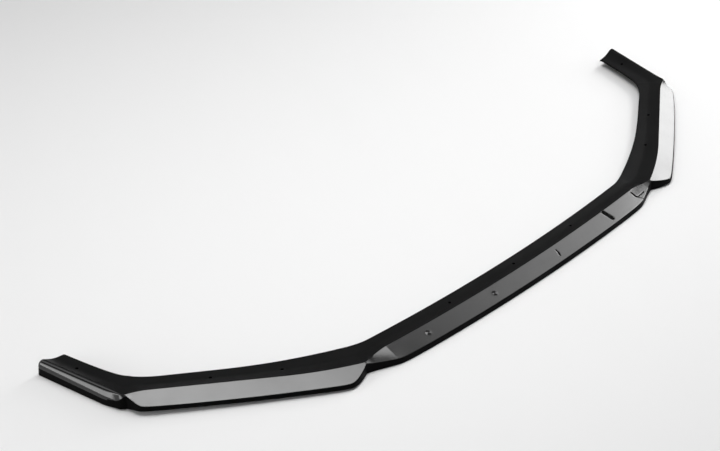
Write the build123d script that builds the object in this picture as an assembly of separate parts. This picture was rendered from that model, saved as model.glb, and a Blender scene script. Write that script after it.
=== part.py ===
"""Front splitter lip: one thin moulded skin with a flange, a ridge, three blades and two arms.

Millimetres, +Z up. X runs across the car, the front faces -Y and the lip stands on its lower edges.
The right half is laid out along the ridge: the centre by its distance from the middle, the wing and
the arm by their run from the corner where the centre ends. Every section is an upright plane that
crosses the ridge, and the skin is lofted through the sections of both halves.
"""
import os
from collections import namedtuple
from math import cos, radians, sin, sqrt, tan
from build123d import *

# Ridge in plan, right half
centre_half = 447.0
centre_bow_radius = 5100.0
corner_forward = 12.0
knuckle_heading = 23.0
knuckle_radius = 760.0
wing_heading = 35.0
wing_straight = 243.0
swing_heading = 18.4
swing_radius = 156.0
arm_heading = 77.3
arm_corner_radius = 14.0
arm_length = 191.0
arm_end_heading = 95.0

# Heights of the ridge above the floor
ridge_centre = 23.0
ridge_corner = 24.5
ridge_arm = 33.5
ridge_end = 35.5

# Flange behind the ridge: widths at the places that shape its inner edge, and its fall and dish
flange_centre = 43.5
flange_blade_end = 47.0
flange_corner = 69.0
flange_waist = 53.0
flange_wing = 49.0
flange_arm_corner = 61.0
flange_arm = 50.5
flange_end = 51.0
flange_fall_centre = 6.0
flange_fall_wing = 9.0
flange_fall_end = 14.0
flange_dish = 2.5
flange_dish_end = 6.0
flange_waist_share = 0.45
flange_wing_share = 0.8
flange_arm_corner_share = 0.12
flange_arm_share = 0.47

# Blades in front of the ridge; each runs out to a tip over the length of its slanted end
centre_blade_depth = 40.0
centre_blade_end = 62.0
centre_skirt = 12.0
wing_blade_inner_depth = 47.0
wing_blade_outer_depth = 25.0
wing_blade_bow = 6.0
wing_blade_inner_end = 38.0
wing_blade_outer_end = 20.5
wing_skirt = 9.5
wing_lift_inner = 3.5
wing_lift_outer = 10.0
blade_corner_round = 9.0
skirt_lean = 1.5

# Plain lip beside the blades: the tip of a blade, and the arm's rounded shoulder under the ridge
tip_depth = 5.0
outer_tip_lift = 3.0
shoulder_run = 22.0
arm_swell = 50.0
arm_bevel_depth = 8.5
arm_bevel_drop = 15.0
end_bevel_depth = 6.0
end_bevel_drop = 11.0

# Skin and its edges
wall = 4.0
ridge_radius = 2.0
low_radius = 2.5
arm_ridge_radius = 7.0
arm_low_radius = 8.0
dish_radius = 60.0
rim_radius = 1.5
end_round = 6.0
end_inset = 4.0

# Gussets under the skin and screw holes in the flange
gusset_pitch = 191.0
gusset_thickness = 3.0
gusset_bite = 1.0
gusset_clearance = 3.0
wing_gusset_shares = (0.2, 0.5, 0.8)
arm_gusset_share = 0.95
screw_hole_radius = 3.25
wing_screw_shares = (0.35, 0.65)
arm_screw_share = 0.7

# Sections along each stretch, and where they fan out round the arm's corner
centre_steps = 4
centre_end_steps = 7
wing_inner_steps = 7
wing_steps = 8
wing_outer_steps = 7
arm_corner_steps = 4
arm_steps = 6
fan_before = 12.0
fan_after = 54.0

Station = namedtuple(
    "Station", "place front ridge flange fall dish depth low bottom ridge_round low_round")


def blend(start, end, share):
    """Value that lies a share of the way from start to end."""
    return start + (end - start) * share


def spread(start, end, steps):
    """Even steps from start up to the last one before end."""
    return [blend(start, end, step / steps) for step in range(steps)]


def eased(share):
    """Share that starts and ends smoothly, between 0 and 1."""
    held = min(1, max(0, share))
    return held**2 * (3 - 2 * held)


def eased_least(first, second, ease):
    """The lesser of two values, with a smooth change from one to the other."""
    return (first + second - sqrt((first - second) ** 2 + ease**2)) / 2


def direction(heading):
    """Unit vector along a heading, in degrees from +X towards the back of the car."""
    return Vector(cos(radians(heading)), sin(radians(heading)))


def front_of(heading):
    """Unit vector that points forward, square to a heading."""
    return direction(heading - 90)


def bow(x):
    """Place of the centre's ridge at a distance from the middle."""
    return Vector(x, centre_bow_radius - sqrt(centre_bow_radius**2 - x**2))


def arc_from(place, heading, radius, turn):
    """End of an arc that leaves a place on a heading; it turns forward if radius and turn are negative."""
    return place + (front_of(heading + turn) - front_of(heading)) * radius


# Named places and lengths along the ridge
blade_end_x = centre_half - centre_blade_end
corner = bow(centre_half) - Vector(0, corner_forward)
corner_heading = knuckle_heading / 2
knuckle_turn = wing_heading - knuckle_heading
knuckle_length = radians(knuckle_turn) * knuckle_radius
knuckle_end = arc_from(corner, knuckle_heading, knuckle_radius, knuckle_turn)
swing_turn = swing_heading - wing_heading
swing_start_run = knuckle_length + wing_straight
swing_start = knuckle_end + direction(wing_heading) * wing_straight
wing_length = swing_start_run - radians(swing_turn) * swing_radius
wing_end = arc_from(swing_start, wing_heading, -swing_radius, swing_turn)
arm_turn = arm_heading - swing_heading
arm_tangent = arm_corner_radius * tan(radians(arm_turn / 2))
arm_start_run = wing_length + radians(arm_turn) * arm_corner_radius
arm_start = arc_from(wing_end, swing_heading, arm_corner_radius, arm_turn)
end_run = arm_start_run + arm_length - arm_tangent
fan_start = wing_length - fan_before
fan_end = wing_length + fan_after


def ridge_place(run):
    """Place on the ridge of the wing and the arm at a run from the corner."""
    if run < knuckle_length:
        return arc_from(corner, knuckle_heading, knuckle_radius, knuckle_turn * run / knuckle_length)
    if run < swing_start_run:
        return knuckle_end + direction(wing_heading) * (run - knuckle_length)
    if run < wing_length:
        turn = swing_turn * (run - swing_start_run) / (wing_length - swing_start_run)
        return arc_from(swing_start, wing_heading, -swing_radius, turn)
    if run < arm_start_run:
        turn = arm_turn * (run - wing_length) / (arm_start_run - wing_length)
        return arc_from(wing_end, swing_heading, arm_corner_radius, turn)
    return arm_start + direction(arm_heading) * (run - arm_start_run)


def section_heading(run):
    """Heading that the section at a run is square to; it turns slowly, so that sections never cross."""
    if run < knuckle_length:
        return blend(corner_heading, wing_heading, sqrt(run / knuckle_length))
    if run < fan_start:
        return wing_heading
    if run < fan_end:
        return blend(wing_heading, arm_heading, (run - fan_start) / (fan_end - fan_start))
    return blend(arm_heading, arm_end_heading, (run - fan_end) / (end_run - fan_end))


def arm_run(share):
    """Run at a share of the way from the blade's outer tip to the end of the arm."""
    return blend(wing_length, end_run, share)


def behind(run, width):
    """Place on the inner edge, at a width behind the ridge."""
    return ridge_place(run) - front_of(section_heading(run)) * width


def crossing(path, place, aim, reach):
    """Distance from a place to a path in plan, along an aim."""
    line = Edge.make_line(place, place + aim * reach)
    return min((point - place).length for point in path.find_intersection_points(line))


# Inner edge of the flange behind the wing and the arm, one smooth curve in plan
inner_edge = Spline(
    bow(blade_end_x) + Vector(0, flange_blade_end),
    behind(0, flange_corner),
    behind(wing_length * flange_waist_share, flange_waist),
    behind(wing_length * flange_wing_share, flange_wing),
    behind(arm_run(flange_arm_corner_share), flange_arm_corner),
    behind(arm_run(flange_arm_share), flange_arm),
    behind(end_run, flange_end),
    tangents=(Vector(1, blade_end_x / centre_bow_radius), direction(arm_heading)),
).edge()

# Low edge of the wing's blade, one slightly bowed line in plan that runs on past both of its ends
corner_zone = 2 * blade_corner_round
overrun = direction(wing_heading) * corner_zone
wing_low_start = corner + front_of(knuckle_heading) * wing_blade_inner_depth - overrun
wing_low_end = wing_end + front_of(wing_heading) * wing_blade_outer_depth + overrun
wing_low_middle = (wing_low_start + wing_low_end) / 2 + front_of(wing_heading) * wing_blade_bow
wing_low_edge = Edge.make_three_point_arc(wing_low_start, wing_low_middle, wing_low_end)


def slanted_end(distance, length, depth):
    """Depth of a blade at a distance from its tip, where the tip widens to the whole depth."""
    ramp = tip_depth + (depth - tip_depth) * distance / length
    return eased_least(ramp, depth, blade_corner_round)


def centre_station(x):
    """Section of the centre at a distance from the middle."""
    share = x / centre_half
    end_share = max(0, (x - blade_end_x) / centre_blade_end)
    heading = corner_heading * end_share
    place = bow(x) - Vector(0, corner_forward * end_share**2)
    if x > blade_end_x:
        flange = crossing(inner_edge, place, -front_of(heading), 2 * flange_corner)
    else:
        flange = blend(flange_centre, flange_blade_end, (x / blade_end_x) ** 2)
    ridge = blend(ridge_centre, ridge_corner, share**2)
    depth = slanted_end(centre_half - x, centre_blade_end, centre_blade_depth)
    low = blend(ridge, centre_skirt, depth / centre_blade_depth)
    fall = blend(flange_fall_centre, flange_fall_wing, share**2)
    return Station(place, front_of(heading), ridge, flange, fall, flange_dish, depth, low, 0.0,
                   ridge_radius, low_radius)


def wing_station(run):
    """Section of the wing at a run from the corner, between the two tips of its blade."""
    place = ridge_place(run)
    heading = section_heading(run)
    share = run / wing_length
    flange = crossing(inner_edge, place, -front_of(heading), 2 * flange_corner)
    whole = crossing(wing_low_edge, place, front_of(heading), 2 * wing_blade_inner_depth)
    depth = min(slanted_end(run, wing_blade_inner_end, whole),
                slanted_end(wing_length - run, wing_blade_outer_end, whole))
    blade_share = (depth - tip_depth) / (whole - tip_depth)
    ridge = blend(ridge_corner, ridge_arm, share)
    lift = blend(wing_lift_inner, wing_lift_outer, share)
    outer_share = min(1, (wing_length - run) / wing_blade_outer_end)
    bottom = max(0, blend(outer_tip_lift * (1 - outer_share), lift, blade_share))
    low = blend(ridge, lift + wing_skirt, depth / whole)
    return Station(place, front_of(heading), ridge, flange, flange_fall_wing, flange_dish, depth, low, bottom,
                   ridge_radius, low_radius)


outer_tip = wing_station(wing_length)


def arm_station(run):
    """Section of the arm at a run from the corner, from the outer tip of the blade to the end."""
    place = ridge_place(run)
    heading = section_heading(run)
    share = (run - wing_length) / (end_run - wing_length)
    shoulder = eased((run - wing_length) / shoulder_run)
    swell = eased((run - wing_length) / arm_swell)
    flange = crossing(inner_edge, place, -front_of(heading), 2 * flange_corner)
    fall = blend(flange_fall_wing, flange_fall_end, share)
    dish = blend(flange_dish, flange_dish_end, share)
    ridge = blend(ridge_arm, ridge_end, share)
    depth = blend(outer_tip.depth, blend(arm_bevel_depth, end_bevel_depth, share), swell)
    low = blend(outer_tip.low, ridge - blend(arm_bevel_drop, end_bevel_drop, share), shoulder)
    bottom = blend(outer_tip.bottom, 0, swell)
    ridge_round = blend(ridge_radius, arm_ridge_radius, swell)
    low_round = blend(low_radius, arm_low_radius, swell)
    return Station(place, front_of(heading), ridge, flange, fall, dish, depth, low, bottom,
                   ridge_round, low_round)


def end_station(last, turn):
    """Section of the arm's rounded end, drawn in and moved on by a turn in degrees."""
    drawn = end_inset * (1 - cos(radians(turn)))
    moved = end_round * sin(radians(turn))
    place = last.place + direction(arm_heading) * moved - last.front * drawn
    return last._replace(place=place, ridge=last.ridge - drawn, flange=last.flange - drawn,
                         low=last.low - drawn)


def mirrored(station):
    """The same section on the left half."""
    place = Vector(-station.place.X, station.place.Y)
    front = Vector(-station.front.X, station.front.Y)
    return station._replace(place=place, front=front)


def section_plane(station):
    """Upright plane of a section: forward is its X and up is its Y."""
    return Plane(origin=station.place, x_dir=station.front, z_dir=station.front.cross(Vector(0, 0, 1)))


def outer_points(station):
    """Corners of the visible side: inner edge, dish, ridge, low edge and bottom."""
    inner = Vector(-station.flange, station.ridge - station.fall)
    ridge = Vector(0, station.ridge)
    dish = (inner + ridge) / 2 - Vector(0, station.dish)
    low = Vector(station.depth, station.low)
    bottom = Vector(station.depth + skirt_lean, station.bottom)
    return [inner, dish, ridge, low, bottom]


def inset(points, distance):
    """The same corners moved to the hidden side, square to each run."""
    moved = []
    runs = [(end - start).normalized() for start, end in zip(points, points[1:])]
    for index, point in enumerate(points):
        before = runs[max(index - 1, 0)]
        after = runs[min(index, len(runs) - 1)]
        across = Vector(before.Y + after.Y, -before.X - after.X).normalized()
        spread = across.dot(Vector(after.Y, -after.X))
        moved.append(point + across * (distance / spread))
    return moved


def section(station):
    """Closed outline of the skin at a station, with its rounded edges."""
    outer = outer_points(station)
    under = inset(outer, wall)
    under[-1] = Vector(under[-1].X, station.bottom)
    radii = [rim_radius, dish_radius, station.ridge_round, station.low_round, rim_radius,
             0, 0, 0, 0, 0]
    outline = FilletPolyline(*outer, *under[::-1], radius=radii, close=True)
    return section_plane(station) * make_face(outline)


def gusset(station):
    """Upright web under the skin, from the middle of the flange to the foot of the skirt."""
    dish, ridge, low, bottom = inset(outer_points(station), wall - gusset_bite)[1:]
    foot = Vector(bottom.X, station.bottom + gusset_clearance)
    web = make_face(Polyline(dish, ridge, low, foot, close=True))
    return extrude(section_plane(station) * web, gusset_thickness / 2, both=True)


def screw_hole(station):
    """Upright cutter through the middle of the flange."""
    place = station.place - station.front * (station.flange / 2)
    return Pos(place.X, place.Y) * Cylinder(screw_hole_radius, 4 * ridge_end)


# Sections of the right half; they crowd towards the ends of the blades, where the form changes most
centre_end_start = blade_end_x - corner_zone
wing_inner_end = wing_blade_inner_end + corner_zone
wing_outer_start = wing_length - wing_blade_outer_end - corner_zone
centre_places = spread(0, centre_end_start, centre_steps)
centre_places += spread(centre_end_start, centre_half, centre_end_steps)
wing_runs = spread(0, wing_inner_end, wing_inner_steps)
wing_runs += spread(wing_inner_end, wing_outer_start, wing_steps)
wing_runs += spread(wing_outer_start, wing_length, wing_outer_steps)
arm_runs = spread(wing_length, arm_start_run, arm_corner_steps)
arm_runs += [blend(arm_start_run, end_run, (step / arm_steps) ** 1.5) for step in range(arm_steps + 1)]
right_half = [centre_station(x) for x in centre_places]
right_half += [wing_station(run) for run in wing_runs]
right_half += [arm_station(run) for run in arm_runs]
arm_end = right_half[-1]
right_half += [end_station(arm_end, turn) for turn in (45, 90)]

stations = [mirrored(station) for station in right_half[:0:-1]] + right_half
lip = loft([section(station) for station in stations], ruled=True)

gusset_places = [centre_station(gusset_pitch * 0.5), centre_station(gusset_pitch * 1.5)]
gusset_places += [wing_station(wing_length * share) for share in wing_gusset_shares]
gusset_places += [arm_station(arm_run(arm_gusset_share))]
screw_places = [centre_station(gusset_pitch)]
screw_places += [wing_station(wing_length * share) for share in wing_screw_shares]
screw_places += [arm_station(arm_run(arm_screw_share))]
for station in gusset_places:
    lip += [gusset(station), gusset(mirrored(station))]
lip -= screw_hole(centre_station(0))
for station in screw_places:
    lip -= [screw_hole(station), screw_hole(mirrored(station))]

box = lip.bounding_box()
lip = Pos(0, -box.center().Y, -box.min.Z) * lip
lip.label = "splitter_lip"

os.makedirs("parts", exist_ok=True)
export_step(lip, "parts/splitter_lip.step")
print("solids", len(lip.solids()), "volume", round(lip.volume), "valid", lip.is_valid)
print("box", lip.bounding_box().min, lip.bounding_box().max, "moved back by", -box.center().Y)
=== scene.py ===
"""Gloss black front splitter lip on a pale studio floor.

The skin is lofted again through fine sections, so that its reflections run smoothly, and it carries the
marks of its face. The sizes are the part's own, apart from the softer shoulder of the arms and the dip of
the centre's ends. They are in millimetres, and are turned into metres where a mesh is made.
"""
from collections import namedtuple
from math import cos, pi, radians, sin, sqrt, tan

import bpy
import bmesh
import numpy as np
from mathutils import Matrix, Vector


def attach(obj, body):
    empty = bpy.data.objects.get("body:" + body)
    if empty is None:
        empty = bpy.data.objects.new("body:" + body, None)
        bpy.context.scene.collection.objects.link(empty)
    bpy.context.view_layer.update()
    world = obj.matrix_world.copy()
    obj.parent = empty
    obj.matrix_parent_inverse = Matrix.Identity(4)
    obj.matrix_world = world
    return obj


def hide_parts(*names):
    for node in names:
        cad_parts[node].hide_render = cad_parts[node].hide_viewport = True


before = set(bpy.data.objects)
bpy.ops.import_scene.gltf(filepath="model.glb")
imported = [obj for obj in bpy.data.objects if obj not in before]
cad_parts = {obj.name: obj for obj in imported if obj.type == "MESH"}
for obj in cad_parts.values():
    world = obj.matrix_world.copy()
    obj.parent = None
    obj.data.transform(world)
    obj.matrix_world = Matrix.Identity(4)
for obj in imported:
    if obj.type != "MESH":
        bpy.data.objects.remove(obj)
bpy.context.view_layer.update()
MM = 0.001

# Ridge in plan, right half
centre_half = 447.0
centre_bow_radius = 5100.0
corner_forward = 12.0
knuckle_heading = 23.0
knuckle_radius = 760.0
wing_heading = 35.0
wing_straight = 243.0
swing_heading = 18.4
swing_radius = 156.0
arm_heading = 77.3
arm_corner_radius = 14.0
arm_length = 191.0
arm_end_heading = 95.0

# Heights of the ridge above the floor
ridge_centre = 23.0
ridge_corner = 24.5
ridge_arm = 33.5
ridge_end = 35.5

# Flange behind the ridge
flange_centre = 43.5
flange_blade_end = 47.0
flange_corner = 69.0
flange_waist = 53.0
flange_wing = 49.0
flange_arm_corner = 61.0
flange_arm = 50.5
flange_end = 51.0
flange_fall_centre = 6.0
flange_fall_wing = 9.0
flange_fall_end = 14.0
flange_dish = 2.5
flange_dish_end = 6.0
flange_waist_share = 0.45
flange_wing_share = 0.8
flange_arm_corner_share = 0.12
flange_arm_share = 0.47

# Dip of the centre's sloping ends, and the share of an end where it is deepest
end_dip = 2.8
end_dip_share = 0.65

# Blades in front of the ridge
centre_blade_depth = 40.0
centre_blade_end = 62.0
centre_skirt = 12.0
wing_blade_inner_depth = 47.0
wing_blade_outer_depth = 25.0
wing_blade_bow = 6.0
wing_blade_inner_end = 38.0
wing_blade_outer_end = 20.5
wing_skirt = 9.5
wing_lift_inner = 3.5
wing_lift_outer = 10.0
blade_corner_round = 9.0
skirt_lean = 1.5

# Plain lip beside the blades: the tip of a blade, and the arm's rounded shoulder under the ridge
tip_depth = 5.0
outer_tip_lift = 3.0
shoulder_run = 22.0
arm_swell = 50.0
arm_bevel_depth = 8.5
arm_bevel_drop = 15.0
end_bevel_depth = 6.0
end_bevel_drop = 11.0

# Skin and its edges
wall = 4.0
ridge_radius = 2.0
low_radius = 2.5
arm_ridge_radius = 8.0
arm_low_radius = 15.0
dish_radius = 60.0
rim_radius = 1.5
end_round = 6.0
end_inset = 4.0

# Gussets under the skin, screw holes in the flange, and where the sections fan round the arm's corner
gusset_pitch = 191.0
centre_gusset_steps = (0.5, 1.5)
gusset_thickness = 3.0
gusset_bite = 1.0
gusset_clearance = 3.0
wing_gusset_shares = (0.2, 0.5, 0.8)
arm_gusset_share = 0.95
screw_hole_radius = 3.25
wing_screw_shares = (0.35, 0.65)
arm_screw_share = 0.7
cutter_heights = (-ridge_end, 2 * ridge_end)
fan_before = 12.0
fan_after = 54.0

# Fineness of the mesh: spacing of the sections, steps of its curves, and points on each stretch
plain_spacing = 4.0
end_spacing = 1.5
mark_spacing = 1.0
mark_margin = 6.0
end_rounding_steps = 6
end_rounding_turn = 90.0
inner_edge_steps = 60
low_edge_points = 200
arc_points = 7
flange_points = 8
blade_points = 30
skirt_points = 5
under_points = 4
hole_sides = 40
sharp_angle = 34.0

# Marks on the centre's face: points (across, forward), half width, depth, steepness and dullness
Mark = namedtuple("Mark", "points half_width depth steepness dull")
marks = (
    Mark(((-292.5, 18.5), (-291.5, 19)), 4.0, -0.8, 2, False),
    Mark(((-105.5, 18.5), (-104.5, 19)), 4.0, -0.8, 2, False),
    Mark(((96, 13), (95.5, 19), (92, 25)), 2.0, 0.6, 4, True),
    Mark(((274.5, 5), (276, 13), (278, 25)), 5.0, 1.8, 8, True),
    Mark(((379, 7), (379, 20)), 2.4, 0.7, 4, True),
    Mark(((379, 20), (383, 27), (389, 32)), 1.2, 0.4, 4, True),
    Mark(((382, 22), (397, 21.4), (408, 19.3)), 1.2, 0.4, 4, True),
)

# Finishes of the plastic: colour, colour of the haze, roughness from and to, specular level and grain
Finish = namedtuple("Finish", "name base haze roughness specular grain_scale grain_height")
finish_looks = (
    Finish("gloss_black_plastic", (0.004, 0.004, 0.0042), (0.007, 0.007, 0.0072), (0.11, 0.19), 0.5,
           260.0, 0.00002),
    Finish("satin_black_plastic", (0.004, 0.004, 0.0042), (0.006, 0.006, 0.0062), (0.34, 0.46), 0.15,
           600.0, 0.00004),
    Finish("dull_black_plastic", (0.0015, 0.0015, 0.0015), (0.003, 0.003, 0.003), (0.42, 0.6), 0.03,
           900.0, 0.00006),
)
GLOSS, SATIN, DULL = range(len(finish_looks))

# Noise of the finishes: scale and detail, and the range of it that is used
haze_noise = (14.0, 4.0)
haze_range = (0.35, 0.75)
gloss_noise = (22.0, 6.0)
gloss_range = (0.3, 0.7)
grain_detail = 2.0

# Floor, in metres
floor_half = 15.0
floor_grey = 0.84
floor_roughness = 0.9
floor_specular = 0.1

# Surroundings: direction of the camera's side, and (share, grey) pairs from the far side to that side
camera_side = (-0.6, -0.6, 0.53)
world_levels = ((0.14, 0.01), (0.3, 0.25), (0.75, 0.2), (1.0, 0.3))

# Softboxes: name, place, target, direction in which the brightness changes, size, brightness from and to
softboxes = (
    ("overhead_softbox", (0.05, 0.14, 2.3), (0.05, 0.14, 0), (1, 0, 0), (1.9, 0.6), (9.9, 5.5)),
    ("tip_softbox", (-0.66, -0.4, 2.3), (-0.66, -0.4, 0), (1, 0, 0), (0.5, 0.44), (13.0, 11.0)),
    ("centre_softbox", (2.1, 0.1, 2.3), (2.1, 0.1, 0), (1, 0, 0), (1.9, 0.6), (0.9, 5.0)),
    ("right_softbox", (2.6, 0.42, 1.0), (0.64, -0.05, 0.02), (0, 0, 1), (1.1, 0.56), (7.0, 10.6)),
    ("corner_softbox", (2.6, -0.25, 1.75), (0.43, -0.2, 0.02), (0, 1, 0), (0.6, 0.6), (7.0, 7.0)),
    ("edge_softbox", (2.6, -0.8, 0.6), (0.42, -0.2, 0.02), (0, 1, 0), (0.6, 0.6), (9.0, 9.0)),
    ("left_softbox", (-3.0, 0.7, 0.55), (-0.86, 0.12, 0.03), (0, 0, 1), (1.1, 1.5), (7.0, 2.5)),
    ("back_softbox", (-1.0, 1.9, 2.4), (-0.6, 1.4, 0), (1, 0, 0), (1.6, 1.2), (1.7, 1.3)),
)

# Camera: lens and sensor in millimetres, place in metres, and angles in degrees
camera_lens = 80.0
camera_sensor = 36.0
camera_place = (-2.1197, -1.8258, 1.9062)
camera_tilt_down = 33.94
camera_turn = 45.42

# One upright section of the skin
Station = namedtuple("Station", "place front ridge flange fall dish depth low bottom ridge_round low_round")


def blend(start, end, share):
    """Value that lies a share of the way from start to end."""
    return start + (end - start) * share


def spread(start, end, spacing):
    """Even steps of about a spacing, from start up to the last one before end."""
    steps = max(1, round((end - start) / spacing))
    return [blend(start, end, step / steps) for step in range(steps)]


def eased(share):
    """Share that starts and ends smoothly, between 0 and 1."""
    held = min(1, max(0, share))
    return held**2 * (3 - 2 * held)


def eased_least(first, second, ease):
    """The lesser of two values, with a smooth change from one to the other."""
    return (first + second - sqrt((first - second) ** 2 + ease**2)) / 2


def direction(heading):
    """Unit vector along a heading, in degrees from +X towards the back of the car."""
    return Vector((cos(radians(heading)), sin(radians(heading))))


def front_of(heading):
    """Unit vector that points forward, square to a heading."""
    return direction(heading - 90)


def bow(x):
    """Place of the centre's ridge at a distance from the middle."""
    return Vector((x, centre_bow_radius - sqrt(centre_bow_radius**2 - x**2)))


def arc_from(place, heading, radius, turn):
    """End of an arc that leaves a place on a heading; it turns forward if radius and turn are negative."""
    return place + (front_of(heading + turn) - front_of(heading)) * radius


# Named places and lengths along the ridge
blade_end_x = centre_half - centre_blade_end
corner = bow(centre_half) - Vector((0, corner_forward))
corner_heading = knuckle_heading / 2
knuckle_turn = wing_heading - knuckle_heading
knuckle_length = radians(knuckle_turn) * knuckle_radius
knuckle_end = arc_from(corner, knuckle_heading, knuckle_radius, knuckle_turn)
swing_turn = swing_heading - wing_heading
swing_start_run = knuckle_length + wing_straight
swing_start = knuckle_end + direction(wing_heading) * wing_straight
wing_length = swing_start_run - radians(swing_turn) * swing_radius
wing_end = arc_from(swing_start, wing_heading, -swing_radius, swing_turn)
arm_turn = arm_heading - swing_heading
arm_tangent = arm_corner_radius * tan(radians(arm_turn / 2))
arm_start_run = wing_length + radians(arm_turn) * arm_corner_radius
arm_start = arc_from(wing_end, swing_heading, arm_corner_radius, arm_turn)
end_run = arm_start_run + arm_length - arm_tangent
fan_start = wing_length - fan_before
fan_end = wing_length + fan_after


def ridge_place(run):
    """Place on the ridge of the wing and the arm at a run from the corner."""
    if run < knuckle_length:
        return arc_from(corner, knuckle_heading, knuckle_radius, knuckle_turn * run / knuckle_length)
    if run < swing_start_run:
        return knuckle_end + direction(wing_heading) * (run - knuckle_length)
    if run < wing_length:
        turn = swing_turn * (run - swing_start_run) / (wing_length - swing_start_run)
        return arc_from(swing_start, wing_heading, -swing_radius, turn)
    if run < arm_start_run:
        turn = arm_turn * (run - wing_length) / (arm_start_run - wing_length)
        return arc_from(wing_end, swing_heading, arm_corner_radius, turn)
    return arm_start + direction(arm_heading) * (run - arm_start_run)


def section_heading(run):
    """Heading that the section at a run is square to."""
    if run < knuckle_length:
        return blend(corner_heading, wing_heading, sqrt(run / knuckle_length))
    if run < fan_start:
        return wing_heading
    if run < fan_end:
        return blend(wing_heading, arm_heading, (run - fan_start) / (fan_end - fan_start))
    return blend(arm_heading, arm_end_heading, (run - fan_end) / (end_run - fan_end))


def arm_run(share):
    """Run at a share of the way from the blade's outer tip to the end of the arm."""
    return blend(wing_length, end_run, share)


def behind(run, width):
    """Place on the inner edge, at a width behind the ridge."""
    return ridge_place(run) - front_of(section_heading(run)) * width


def smooth_curve(points, start_tangent, end_tangent, steps):
    """Cubic curve through points, with set end tangents, as a row of plan points that runs on a little."""
    points = np.array(points)
    chords = np.linalg.norm(np.diff(points, axis=0), axis=1)
    count = len(points)
    system = np.eye(count)
    slopes = np.zeros((count, 2))
    slopes[0] = start_tangent
    slopes[-1] = end_tangent
    for i in range(1, count - 1):
        before, after = chords[i - 1], chords[i]
        system[i, i - 1:i + 2] = (1 / before, 2 / before + 2 / after, 1 / after)
        slopes[i] = 3 * ((points[i] - points[i - 1]) / before**2 + (points[i + 1] - points[i]) / after**2)
    tangents = np.linalg.solve(system, slopes)
    share = np.linspace(0, 1, steps, endpoint=False)[:, None]
    rows = []
    for i, chord in enumerate(chords):
        rows.append((2 * share**3 - 3 * share**2 + 1) * points[i]
                    + (share**3 - 2 * share**2 + share) * chord * tangents[i]
                    + (3 * share**2 - 2 * share**3) * points[i + 1]
                    + (share**3 - share**2) * chord * tangents[i + 1])
    last = points[-1:]
    return np.vstack(rows + [last, last + np.array([end_tangent])])


def crossing(path, place, aim):
    """Distance from a place to a path of plan points, along an aim."""
    offset = path - np.array(place)
    side = offset @ np.array((-aim.y, aim.x))
    along = offset @ np.array(aim)
    hits = np.nonzero(side[:-1] * side[1:] <= 0)[0]
    shares = side[hits] / (side[hits] - side[hits + 1])
    distances = along[hits] + (along[hits + 1] - along[hits]) * shares
    return float(min(distances[distances > 0]))


inner_edge = smooth_curve(
    [
        bow(blade_end_x) + Vector((0, flange_blade_end)),
        behind(0, flange_corner),
        behind(wing_length * flange_waist_share, flange_waist),
        behind(wing_length * flange_wing_share, flange_wing),
        behind(arm_run(flange_arm_corner_share), flange_arm_corner),
        behind(arm_run(flange_arm_share), flange_arm),
        behind(end_run, flange_end),
    ],
    Vector((1, blade_end_x / centre_bow_radius)).normalized(),
    direction(arm_heading),
    inner_edge_steps,
)

# Low edge of the wing's blade, one slightly bowed line in plan that runs on past both of its ends
corner_zone = 2 * blade_corner_round
overrun = direction(wing_heading) * corner_zone
wing_low_start = corner + front_of(knuckle_heading) * wing_blade_inner_depth - overrun
wing_low_end = wing_end + front_of(wing_heading) * wing_blade_outer_depth + overrun
low_shares = np.linspace(0, 1, low_edge_points)[:, None]
wing_low_edge = (np.array(wing_low_start) * (1 - low_shares) + np.array(wing_low_end) * low_shares
                 + np.array(front_of(wing_heading)) * wing_blade_bow * 4 * low_shares * (1 - low_shares))


def slanted_end(distance, length, depth):
    """Depth of a blade at a distance from its tip, where the tip widens to the whole depth."""
    ramp = tip_depth + (depth - tip_depth) * distance / length
    return eased_least(ramp, depth, blade_corner_round)


def centre_station(x):
    """Section of the centre at a distance from the middle."""
    share = x / centre_half
    end_share = max(0, (x - blade_end_x) / centre_blade_end)
    heading = corner_heading * end_share
    place = bow(x) - Vector((0, corner_forward * end_share**2))
    if x > blade_end_x:
        flange = crossing(inner_edge, place, -front_of(heading))
    else:
        flange = blend(flange_centre, flange_blade_end, (x / blade_end_x) ** 2)
    ridge = blend(ridge_centre, ridge_corner, share**2)
    depth = slanted_end(centre_half - x, centre_blade_end, centre_blade_depth)
    dip = end_dip * min(end_share / end_dip_share, (1 - end_share) / (1 - end_dip_share))
    low = blend(ridge, centre_skirt, depth / centre_blade_depth) - dip * (1 - depth / centre_blade_depth)
    fall = blend(flange_fall_centre, flange_fall_wing, share**2) - dip
    return Station(place, front_of(heading), ridge - dip, flange, fall, flange_dish, depth, low, 0.0,
                   ridge_radius, low_radius)


def wing_station(run):
    """Section of the wing at a run from the corner, between the two tips of its blade."""
    place = ridge_place(run)
    heading = section_heading(run)
    share = run / wing_length
    flange = crossing(inner_edge, place, -front_of(heading))
    whole = crossing(wing_low_edge, place, front_of(heading))
    depth = min(slanted_end(run, wing_blade_inner_end, whole),
                slanted_end(wing_length - run, wing_blade_outer_end, whole))
    blade_share = (depth - tip_depth) / (whole - tip_depth)
    ridge = blend(ridge_corner, ridge_arm, share)
    lift = blend(wing_lift_inner, wing_lift_outer, share)
    outer_share = min(1, (wing_length - run) / wing_blade_outer_end)
    bottom = max(0, blend(outer_tip_lift * (1 - outer_share), lift, blade_share))
    low = blend(ridge, lift + wing_skirt, depth / whole)
    return Station(place, front_of(heading), ridge, flange, flange_fall_wing, flange_dish, depth, low, bottom,
                   ridge_radius, low_radius)


outer_tip = wing_station(wing_length)


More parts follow.
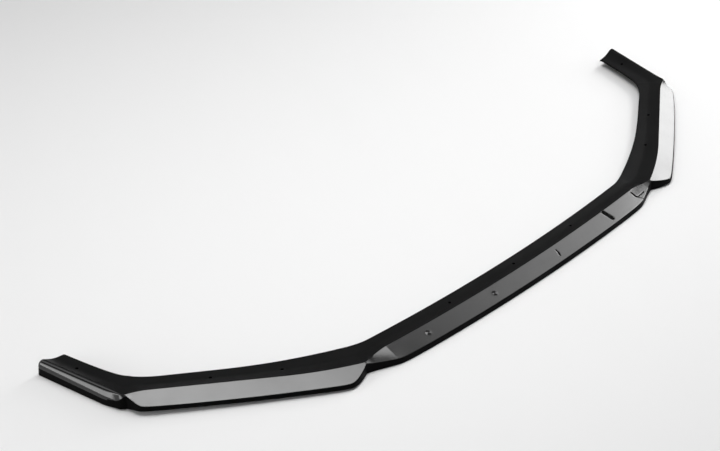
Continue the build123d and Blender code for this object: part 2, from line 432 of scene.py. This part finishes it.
def arm_station(run):
    """Section of the arm at a run from the corner, from the outer tip of the blade to the end."""
    place = ridge_place(run)
    heading = section_heading(run)
    share = (run - wing_length) / (end_run - wing_length)
    shoulder = eased((run - wing_length) / shoulder_run)
    swell = eased((run - wing_length) / arm_swell)
    flange = crossing(inner_edge, place, -front_of(heading))
    fall = blend(flange_fall_wing, flange_fall_end, share)
    dish = blend(flange_dish, flange_dish_end, share)
    ridge = blend(ridge_arm, ridge_end, share)
    depth = blend(outer_tip.depth, blend(arm_bevel_depth, end_bevel_depth, share), swell)
    low = blend(outer_tip.low, ridge - blend(arm_bevel_drop, end_bevel_drop, share), shoulder)
    bottom = blend(outer_tip.bottom, 0, swell)
    ridge_round = blend(ridge_radius, arm_ridge_radius, swell)
    low_round = blend(low_radius, arm_low_radius, swell)
    return Station(place, front_of(heading), ridge, flange, fall, dish, depth, low, bottom,
                   ridge_round, low_round)


def end_station(last, turn):
    """Section of the arm's rounded end, drawn in and moved on by a turn in degrees."""
    drawn = end_inset * (1 - cos(radians(turn)))
    moved = end_round * sin(radians(turn))
    place = last.place + direction(arm_heading) * moved - last.front * drawn
    return last._replace(place=place, ridge=last.ridge - drawn, flange=last.flange - drawn,
                         low=last.low - drawn)


def mirrored(station):
    """The same section on the left half."""
    place = Vector((-station.place.x, station.place.y))
    front = Vector((-station.front.x, station.front.y))
    return station._replace(place=place, front=front)


def outer_points(station):
    """Corners of the visible side: inner edge, dish, ridge, low edge and bottom."""
    inner = Vector((-station.flange, station.ridge - station.fall))
    ridge = Vector((0, station.ridge))
    dish = (inner + ridge) / 2 - Vector((0, station.dish))
    low = Vector((station.depth, station.low))
    bottom = Vector((station.depth + skirt_lean, station.bottom))
    return [inner, dish, ridge, low, bottom]


def inset(points, distance):
    """The same corners moved to the hidden side, square to each run."""
    moved = []
    runs = [(end - start).normalized() for start, end in zip(points, points[1:])]
    for index, point in enumerate(points):
        before = runs[max(index - 1, 0)]
        after = runs[min(index, len(runs) - 1)]
        across = Vector((before.y + after.y, -before.x - after.x)).normalized()
        square_share = across.dot(Vector((after.y, -after.x)))
        moved.append(point + across * (distance / square_share))
    return moved


def rounded(before, point, after, radius):
    """Points of the arc that rounds a corner."""
    back = (before - point).normalized()
    ahead = (after - point).normalized()
    half_angle = back.angle(ahead) / 2
    reach = radius / tan(half_angle)
    centre = point + (back + ahead).normalized() * (radius / sin(half_angle))
    start = point + back * reach - centre
    end = point + ahead * reach - centre
    opening = start.angle(end)
    shares = [step / (arc_points - 1) for step in range(arc_points)]
    return [centre + (start * sin(opening * (1 - share)) + end * sin(opening * share)) / sin(opening)
            for share in shares]


# Runs of a section: points after each corner, and which corners are rounded
run_points = (flange_points, flange_points, blade_points, skirt_points, 1,
              skirt_points, under_points, under_points, under_points, 1)
rounded_corners = 5
corner_points = [arc_points if index < rounded_corners else 1 for index in range(len(run_points))]
corner_starts = np.cumsum([0] + [a + b - 1 for a, b in zip(corner_points, run_points)])
ridge_corner_index, low_corner_index = 2, 3
face_start = corner_starts[ridge_corner_index]
face_end = corner_starts[low_corner_index] + arc_points
flange_start = arc_points // 2


def gloss_limit(station):
    """Point of the outline where the gloss ends: halfway round the low edge, or past it on an arm."""
    swell = (station.low_round - low_radius) / (arm_low_radius - low_radius)
    return corner_starts[low_corner_index] + round(blend(arc_points // 2, arc_points, swell))


def outline(station):
    """Closed outline of the skin at a station, as (forward, up) points; all have the same count."""
    outer = outer_points(station)
    under = inset(outer, wall)
    under[-1] = Vector((under[-1].x, station.bottom))
    corners = outer + under[::-1]
    radii = [rim_radius, dish_radius, station.ridge_round, station.low_round, rim_radius]
    arcs = [[point] for point in corners]
    for index, radius in enumerate(radii):
        arcs[index] = rounded(corners[index - 1], corners[index], corners[index + 1], radius)
    row = []
    for index, arc in enumerate(arcs):
        following = arcs[(index + 1) % len(arcs)][0]
        row += arc
        row += [arc[-1].lerp(following, step / run_points[index]) for step in range(1, run_points[index])]
    return np.array(row)


def distance_to_line(across, forward, points):
    """Distance of points on the face from a row of mark points."""
    places = np.stack([across, forward], axis=-1)
    nearest = np.full(len(places), np.inf)
    for start, end in zip(np.array(points[:-1], float), np.array(points[1:], float)):
        run = end - start
        share = np.clip((places - start) @ run / (run @ run), 0, 1)
        nearest = np.minimum(nearest, np.linalg.norm(places - start - share[:, None] * run, axis=1))
    return nearest


def mark_depths(station, row):
    """Depth of the marks, negative where raised, at each point of an outline, and which points are dull."""
    sunk = np.zeros(len(row))
    dull = np.zeros(len(row), bool)
    across = station.place.x + station.front.x * row[face_start:face_end, 0]
    for mark in marks:
        distance = distance_to_line(across, row[face_start:face_end, 0], mark.points)
        sunk[face_start:face_end] += mark.depth * np.exp(-((distance / mark.half_width) ** mark.steepness))
        dull[face_start:face_end] |= mark.dull & (distance < mark.half_width)
    return sunk, dull


def solid_points(station):
    """Places of a section's outline in the part's own layout, in millimetres, and which points are dull."""
    row = outline(station)
    dull = np.zeros(len(row), bool)
    if abs(station.place.x) < centre_half:
        sunk, dull = mark_depths(station, row)
        face = Vector((station.depth, station.low - station.ridge)).normalized()
        row += np.outer(sunk, (face.y, -face.x))
    points = np.empty((len(row), 3))
    points[:, :2] = np.array(station.place) + np.outer(row[:, 0], np.array(station.front))
    points[:, 2] = row[:, 1]
    return points, dull


def centre_places():
    """Distances of the centre's sections from the middle, closer at the marks and at the blade's end."""
    end_start = blade_end_x - corner_zone
    places = spread(0, end_start, plain_spacing) + spread(end_start, centre_half, end_spacing)
    for mark in marks:
        reaches = [abs(across) for across, forward in mark.points]
        window_start = min(reaches) - mark_margin
        window_end = max(reaches) + mark_margin
        places = [x for x in places if not window_start <= x <= window_end]
        places += spread(window_start, window_end, mark_spacing)
    return sorted(places)


def right_half_stations():
    """Sections from the middle to the end of the right arm, closer together at the blades' ends."""
    wing_inner_end = wing_blade_inner_end + corner_zone
    wing_outer_start = wing_length - wing_blade_outer_end - corner_zone
    wing = spread(0, wing_inner_end, end_spacing) + spread(wing_inner_end, wing_outer_start, plain_spacing)
    wing += spread(wing_outer_start, wing_length, end_spacing)
    arm_swell_run = wing_length + arm_swell
    arm = spread(wing_length, arm_swell_run, end_spacing) + spread(arm_swell_run, end_run, plain_spacing)
    stations = [centre_station(x) for x in centre_places()] + [wing_station(run) for run in wing]
    stations += [arm_station(run) for run in arm]
    last = arm_station(end_run)
    turns = [end_rounding_turn * step / end_rounding_steps for step in range(end_rounding_steps + 1)]
    stations += [end_station(last, turn) for turn in turns]
    return stations


def layout_shift():
    """Move from the ridge's layout to the part's frame, whose origin is the middle of the depth."""
    back = solid_points(end_station(arm_station(end_run), end_rounding_turn))[0][:, 1].max()
    front = solid_points(centre_station(0))[0][:, 1].min()
    return np.array((0, -(back + front) / 2, 0))


def add_object(name, data):
    """New object of a mesh, a light or a camera, in the scene."""
    piece = bpy.data.objects.new(name, data)
    bpy.context.scene.collection.objects.link(piece)
    return piece


def mesh_of(name, vertices, faces):
    """Closed mesh in metres from places in the part's frame in millimetres, with its faces turned out."""
    mesh = bpy.data.meshes.new(name)
    mesh.from_pydata((np.array(vertices) * MM).tolist(), [], faces)
    turned = bmesh.new()
    turned.from_mesh(mesh)
    bmesh.ops.recalc_face_normals(turned, faces=turned.faces)
    turned.to_mesh(mesh)
    turned.free()
    return mesh


def skin_mesh(shift):
    """Mesh of the bare skin; each face has the number of its finish."""
    right = right_half_stations()
    stations = [mirrored(station) for station in right[:0:-1]] + right
    placed = [solid_points(station) for station in stations]
    rows = np.array([points for points, dull in placed]) + shift
    dull_points = np.array([dull for points, dull in placed])
    sections, count = rows.shape[:2]
    faces = []
    face_finishes = []
    for section in range(sections - 1):
        start = section * count
        gloss_end = gloss_limit(stations[section])
        for point in range(count):
            following = (point + 1) % count
            near = (start + point, start + following)
            far = (start + count + following, start + count + point)
            faces.append(near + far)
            if dull_points[section, point] or not flange_start <= point < gloss_end:
                face_finishes.append(DULL)
            else:
                face_finishes.append(SATIN if point < face_start else GLOSS)
    faces.append(tuple(range(count - 1, -1, -1)))
    faces.append(tuple(range((sections - 1) * count, sections * count)))
    face_finishes += [SATIN, SATIN]
    mesh = mesh_of("splitter_lip_skin", rows.reshape(-1, 3), faces)
    mesh.polygons.foreach_set("material_index", face_finishes)
    return mesh


def prism(count, first):
    """Faces of a prism between two rows of a count of points, numbered from first."""
    low = range(first, first + count)
    high = range(first + count, first + 2 * count)
    sides = [(low[i], low[(i + 1) % count], high[(i + 1) % count], high[i]) for i in range(count)]
    return [tuple(reversed(low)), tuple(high)] + sides


def prisms_mesh(name, pairs):
    """One mesh of separate prisms, each given as its two rows of points."""
    vertices = []
    faces = []
    for bottom, top in pairs:
        faces += prism(len(bottom), len(vertices))
        vertices += list(bottom) + list(top)
    return mesh_of(name, vertices, faces)


def gusset_sides(station, shift):
    """Two faces of the upright web under the skin at a station."""
    dish, ridge, low, bottom = inset(outer_points(station), wall - gusset_bite)[1:]
    foot = Vector((bottom.x, station.bottom + gusset_clearance))
    half = Vector((-station.front.y, station.front.x)) * (gusset_thickness / 2)
    sides = []
    for plan_shift in (-half, half):
        plan = [station.place + station.front * point.x + plan_shift for point in (dish, ridge, low, foot)]
        heights = [point.y for point in (dish, ridge, low, foot)]
        sides.append([np.array((*place, height)) + shift for place, height in zip(plan, heights)])
    return sides


def hole_ends(station, shift):
    """Two ends of the upright cutter through the middle of the flange."""
    place = station.place - station.front * (station.flange / 2)
    turns = [2 * pi * side / hole_sides for side in range(hole_sides)]
    ring = [(place.x + screw_hole_radius * cos(turn), place.y + screw_hole_radius * sin(turn))
            for turn in turns]
    return [[np.array((x, y, height)) + shift for x, y in ring] for height in cutter_heights]


def both_sides(stations):
    """Stations of the right half with their mirror images."""
    return stations + [mirrored(station) for station in stations]


def combined(skin, webs, cutters):
    """The skin with its webs joined on and its holes cut, as one mesh."""
    piece = add_object("splitter_lip_skin", skin)
    helpers = [add_object("webs", webs), add_object("cutters", cutters)]
    for helper, operation in zip(helpers, ("UNION", "DIFFERENCE")):
        step = piece.modifiers.new(operation.lower(), "BOOLEAN")
        step.operation = operation
        step.solver = "EXACT"
        step.object = helper
    bpy.context.view_layer.update()
    whole = bpy.data.meshes.new_from_object(piece.evaluated_get(bpy.context.evaluated_depsgraph_get()))
    piece.modifiers.clear()
    piece.data = whole
    for helper in helpers:
        bpy.data.objects.remove(helper)
    return piece


def splitter_lip(finishes):
    """The whole lip: skin, gussets and screw holes."""
    shift = layout_shift()
    gussets = [centre_station(gusset_pitch * step) for step in centre_gusset_steps]
    gussets += [wing_station(wing_length * share) for share in wing_gusset_shares]
    gussets += [arm_station(arm_run(arm_gusset_share))]
    screws = [centre_station(gusset_pitch)]
    screws += [wing_station(wing_length * share) for share in wing_screw_shares]
    screws += [arm_station(arm_run(arm_screw_share))]
    webs = prisms_mesh("webs", [gusset_sides(station, shift) for station in both_sides(gussets)])
    webs.polygons.foreach_set("material_index", [DULL] * len(webs.polygons))
    hole_stations = [centre_station(0)] + both_sides(screws)
    cutters = prisms_mesh("cutters", [hole_ends(station, shift) for station in hole_stations])
    cutters.polygons.foreach_set("material_index", [DULL] * len(cutters.polygons))
    skin = skin_mesh(shift)
    for mesh in (skin, webs, cutters):
        for finish in finishes:
            mesh.materials.append(finish)
    piece = combined(skin, webs, cutters)
    piece.data.shade_smooth()
    piece.data.set_sharp_from_angle(angle=radians(sharp_angle))
    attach(piece, "root")
    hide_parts("splitter_lip")


def plastic(look):
    """Black plastic: a faint haze in the colour, uneven gloss and a fine moulded grain."""
    material = bpy.data.materials.new(look.name)
    material.use_nodes = True
    nodes = material.node_tree.nodes
    links = material.node_tree.links
    shader = nodes["Principled BSDF"]
    shader.inputs["Specular IOR Level"].default_value = look.specular
    places = nodes.new("ShaderNodeTexCoord")

    def noise(scale, detail):
        """Noise over the piece's own places."""
        texture = nodes.new("ShaderNodeTexNoise")
        texture.inputs["Scale"].default_value = scale
        texture.inputs["Detail"].default_value = detail
        links.new(places.outputs["Object"], texture.inputs["Vector"])
        return texture.outputs["Fac"]

    tint = nodes.new("ShaderNodeValToRGB")
    for stop, position, colour in zip(tint.color_ramp.elements, haze_range, (look.base, look.haze)):
        stop.position = position
        stop.color = (*colour, 1)
    links.new(noise(*haze_noise), tint.inputs["Fac"])
    links.new(tint.outputs["Color"], shader.inputs["Base Color"])

    gloss = nodes.new("ShaderNodeMapRange")
    gloss.inputs["From Min"].default_value = gloss_range[0]
    gloss.inputs["From Max"].default_value = gloss_range[1]
    gloss.inputs["To Min"].default_value = look.roughness[0]
    gloss.inputs["To Max"].default_value = look.roughness[1]
    links.new(noise(*gloss_noise), gloss.inputs["Value"])
    links.new(gloss.outputs["Result"], shader.inputs["Roughness"])

    bump = nodes.new("ShaderNodeBump")
    bump.inputs["Strength"].default_value = 1.0
    bump.inputs["Distance"].default_value = look.grain_height
    links.new(noise(look.grain_scale, grain_detail), bump.inputs["Height"])
    links.new(bump.outputs["Normal"], shader.inputs["Normal"])
    return material


def pale_floor():
    """Wide pale floor under the lip."""
    low, high = -floor_half, floor_half
    corners = [(low, low, 0), (high, low, 0), (high, high, 0), (low, high, 0)]
    mesh = bpy.data.meshes.new("floor")
    mesh.from_pydata(corners, [], [(0, 1, 2, 3)])
    floor = add_object("floor", mesh)
    material = bpy.data.materials.new("pale_floor")
    material.use_nodes = True
    shader = material.node_tree.nodes["Principled BSDF"]
    shader.inputs["Base Color"].default_value = (floor_grey, floor_grey, floor_grey, 1)
    shader.inputs["Roughness"].default_value = floor_roughness
    shader.inputs["Specular IOR Level"].default_value = floor_specular
    mesh.materials.append(material)


def softbox(name, place, target, across, size, radiance):
    """Studio light of one brightness at the start of its across direction and another at its end."""
    light = bpy.data.lights.new(name, "AREA")
    light.shape = "RECTANGLE"
    light.size, light.size_y = size
    light.energy = pi * size[0] * size[1]
    light.use_nodes = True
    nodes = light.node_tree.nodes
    links = light.node_tree.links
    surface = nodes.new("ShaderNodeNewGeometry")
    parts = nodes.new("ShaderNodeSeparateXYZ")
    ramp = nodes.new("ShaderNodeMapRange")
    ramp.inputs["To Min"].default_value = radiance[0]
    ramp.inputs["To Max"].default_value = radiance[1]
    links.new(surface.outputs["Parametric"], parts.inputs["Vector"])
    links.new(parts.outputs["X"], ramp.inputs["Value"])
    links.new(ramp.outputs["Result"], nodes["Emission"].inputs["Strength"])
    lamp = add_object(name, light)
    back = (Vector(place) - Vector(target)).normalized()
    up = back.cross(Vector(across)).normalized()
    side = up.cross(back)
    lamp.location = place
    lamp.rotation_euler = Matrix((side, up, back)).transposed().to_euler()
    lamp.visible_camera = False


def studio_world():
    """Grey surroundings, nearly black on the far side from the camera."""
    world = bpy.data.worlds.new("studio")
    bpy.context.scene.world = world
    world.use_nodes = True
    nodes = world.node_tree.nodes
    links = world.node_tree.links
    places = nodes.new("ShaderNodeTexCoord")
    facing = nodes.new("ShaderNodeVectorMath")
    facing.operation = "DOT_PRODUCT"
    facing.inputs[1].default_value = Vector(camera_side).normalized()
    share = nodes.new("ShaderNodeMapRange")
    share.inputs["From Min"].default_value = -1.0
    share.inputs["From Max"].default_value = 1.0
    ramp = nodes.new("ShaderNodeValToRGB")
    stops = ramp.color_ramp.elements
    for index, (position, level) in enumerate(world_levels):
        stop = stops[index] if index < len(stops) else stops.new(position)
        stop.position = position
        stop.color = (level, level, level, 1)
    links.new(places.outputs["Generated"], facing.inputs[0])
    links.new(facing.outputs["Value"], share.inputs["Value"])
    links.new(share.outputs["Result"], ramp.inputs["Fac"])
    links.new(ramp.outputs["Color"], nodes["Background"].inputs["Color"])


splitter_lip([plastic(look) for look in finish_looks])
pale_floor()
studio_world()
for box in softboxes:
    softbox(*box)

camera_data = bpy.data.cameras.new("camera")
camera_data.lens = camera_lens
camera_data.sensor_width = camera_sensor
camera = add_object("camera", camera_data)
camera.location = camera_place
camera.rotation_euler = (radians(90 - camera_tilt_down), 0, radians(-camera_turn))
bpy.context.scene.camera = camera
bpy.context.scene.view_settings.view_transform = "Standard"
